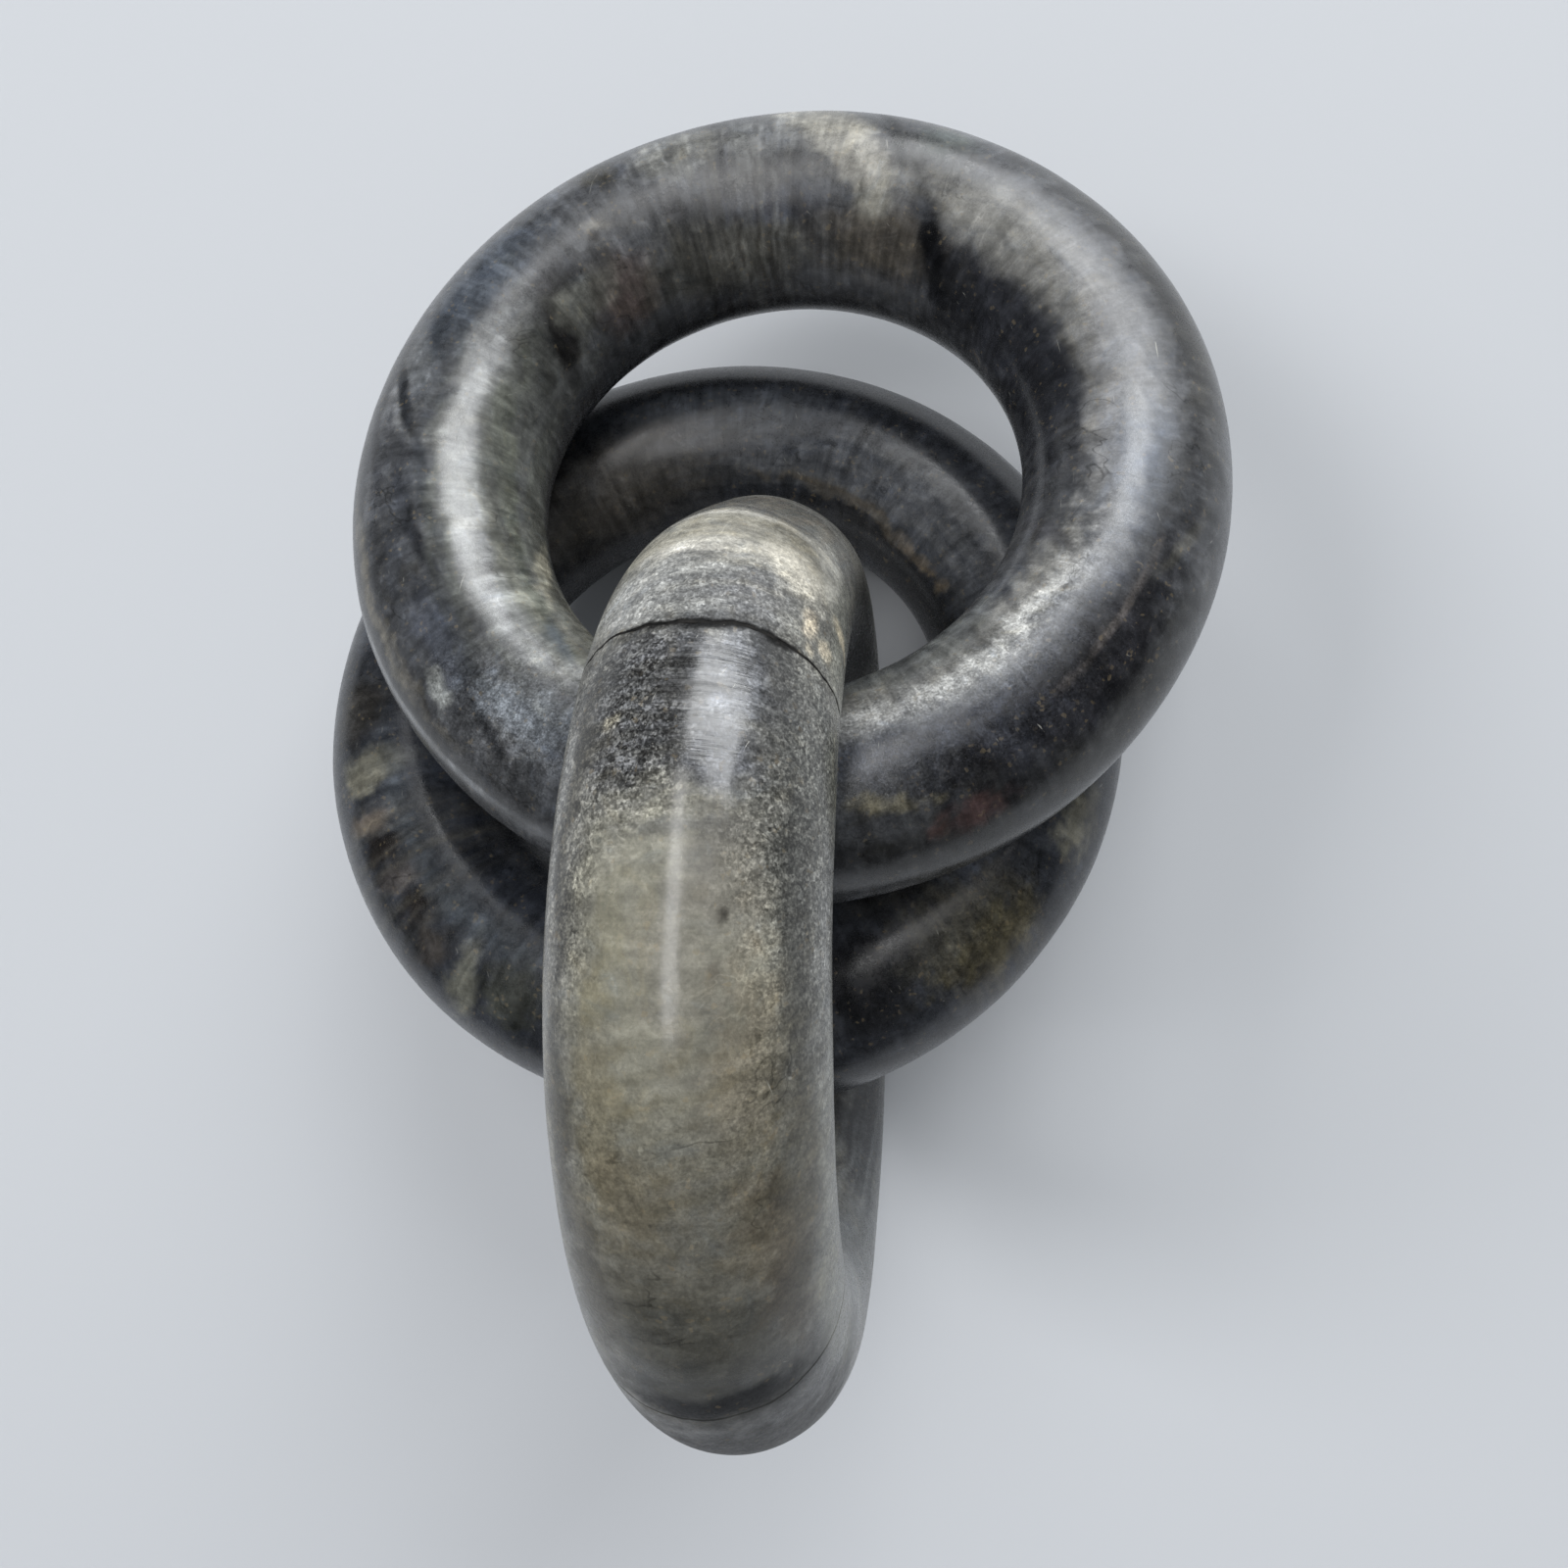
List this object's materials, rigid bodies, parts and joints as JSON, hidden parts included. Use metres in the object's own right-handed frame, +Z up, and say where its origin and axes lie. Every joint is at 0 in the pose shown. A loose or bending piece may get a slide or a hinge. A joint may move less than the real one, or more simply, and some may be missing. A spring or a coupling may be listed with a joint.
{
  "type": "decorative stone chain",
  "caption": "Short decorative chain of interlinked round-section polished stone rings, the middle link standing on edge through the eyes of two end links that rest one on the other.",
  "frame": {"origin": "on the resting plane, under the middle of the assembly's box", "axes": "+Z up from the resting plane; +X along the middle link's own axis; +Y from the middle link towards the end links' rear edges"},
  "size_m": [0.1418, 0.1874, 0.1204],
  "materials": {
    "upper_stone": "polished dark grey veined marble",
    "lower_stone": "polished blue-grey veined marble",
    "middle_stone": "polished grey-olive mottled marble",
    "closing_stone": "polished charcoal and beige marble",
    "joint_adhesive": "set dark resin adhesive"
  },
  "bodies": {
    "lower_link": {"lower_link": "lower_stone"},
    "middle_link": {"middle_link_long_arc": "middle_stone", "middle_link_closing_arc": "closing_stone", "adhesive_joint_rear": "joint_adhesive", "adhesive_joint_front": "joint_adhesive"},
    "upper_link": {"upper_link": "upper_stone"}
  },
  "joints": [
    {"name": "middle_link_turn", "type": "hinge", "parent": "lower_link", "child": "middle_link", "pos_m": [0.00801, -0.03354, 0.0602], "axis": [1, 0, 0], "continuous": true},
    {"name": "upper_link_swing", "type": "hinge", "parent": "lower_link", "child": "upper_link", "pos_m": [0.00801, -0.01513, 0.06499], "axis": [0.9996, 0.0063, -0.0281], "range_deg": [0, 165]}
  ]
}
